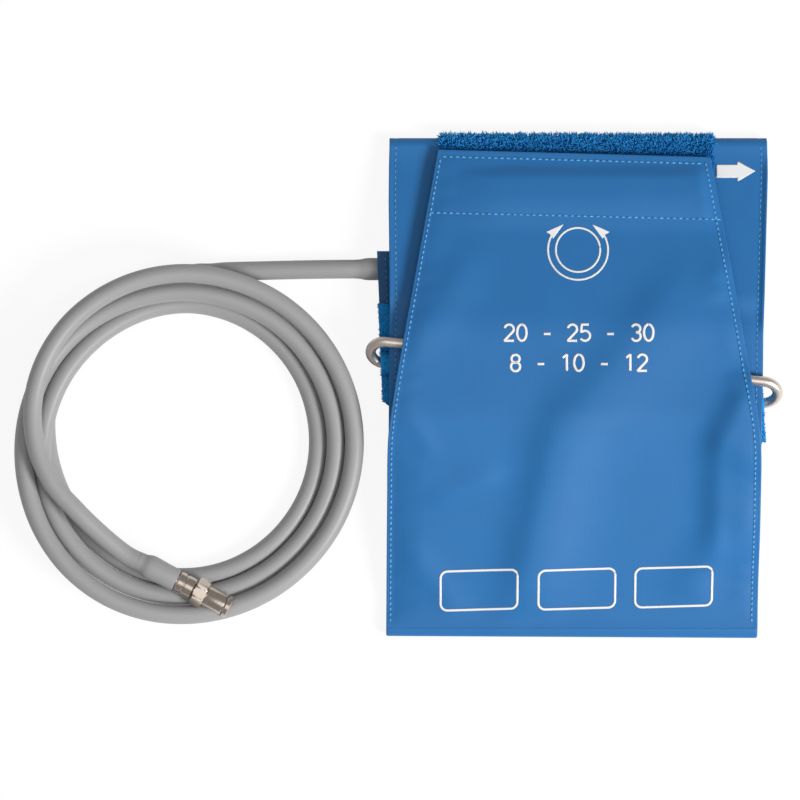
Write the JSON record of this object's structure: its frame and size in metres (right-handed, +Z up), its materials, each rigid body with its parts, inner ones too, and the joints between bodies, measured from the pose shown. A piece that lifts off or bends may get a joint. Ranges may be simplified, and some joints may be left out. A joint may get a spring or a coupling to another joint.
{
  "type": "blood pressure cuff",
  "caption": "Upper-arm blood pressure cuff folded flat: coated cloth band with bladder, wire closing ring, hook-and-loop flap, coiled air hose and screw coupling.",
  "frame": {"origin": "on the back leaf's outer face, which lies on the table, near the middle of the cuff", "axes": "+Z up out of the table towards the closing flap, +Y from the bottom fold to the top fold, +X along the folds away from the hose"},
  "size_m": [0.296, 0.1935, 0.0267],
  "materials": {
    "coated_cloth": "coated woven cloth, matt",
    "lining_cloth": "coated woven cloth, matt inner side",
    "pile_cloth": "brushed loop pile",
    "hook_tape": "woven hook tape",
    "bladder_film": "smooth film",
    "port_plastic": "moulded, satin",
    "hose_rubber": "smooth extruded hose",
    "plated_wire": "plated wire, satin",
    "nickel": "nickel plate, bright",
    "seal_rubber": "moulded seal"
  },
  "bodies": {
    "cuff": {"band_cover": "coated_cloth", "band_lining": "lining_cloth", "air_bladder": "bladder_film", "bladder_port": "port_plastic", "ring_end_panel": "coated_cloth", "ring_strap": "pile_cloth", "loop_patch": "pile_cloth", "bottom_fold": "coated_cloth", "hose_sleeve": "hose_rubber", "hose_lead": "hose_rubber", "hose_coil": "hose_rubber", "hose_end_sleeve": "hose_rubber", "rear_collar": "nickel", "connector_stem": "nickel", "seal_ring": "seal_rubber"},
    "flap": {"flap_face": "coated_cloth", "flap_backing": "lining_cloth", "hook_patch": "hook_tape"},
    "ring": {"wire_ring": "plated_wire"},
    "nut": {"coupling_nut": "nickel", "end_ring": "nickel"}
  },
  "joints": [
    {"name": "flap_fold", "type": "hinge", "parent": "cuff", "child": "flap", "pos_m": [0, -0.0934, 0.003], "axis": [1, 0, 0], "range_deg": [0, 160], "deforming": ["bottom_fold"]},
    {"name": "ring_swing", "type": "hinge", "parent": "cuff", "child": "ring", "pos_m": [-0.0004, 0.0011, 0.0127], "axis": [0.9945, -0.1045, 0], "range_deg": [0, 48]},
    {"name": "nut_turn", "type": "hinge", "parent": "cuff", "child": "nut", "pos_m": [-0.16611, -0.06804, 0.0132], "axis": [0.8886, -0.4587, 0], "continuous": true}
  ],
  "couplings": [
    {"joint": "ring_swing", "follows": "flap_fold", "ratio": 0.3}
  ]
}
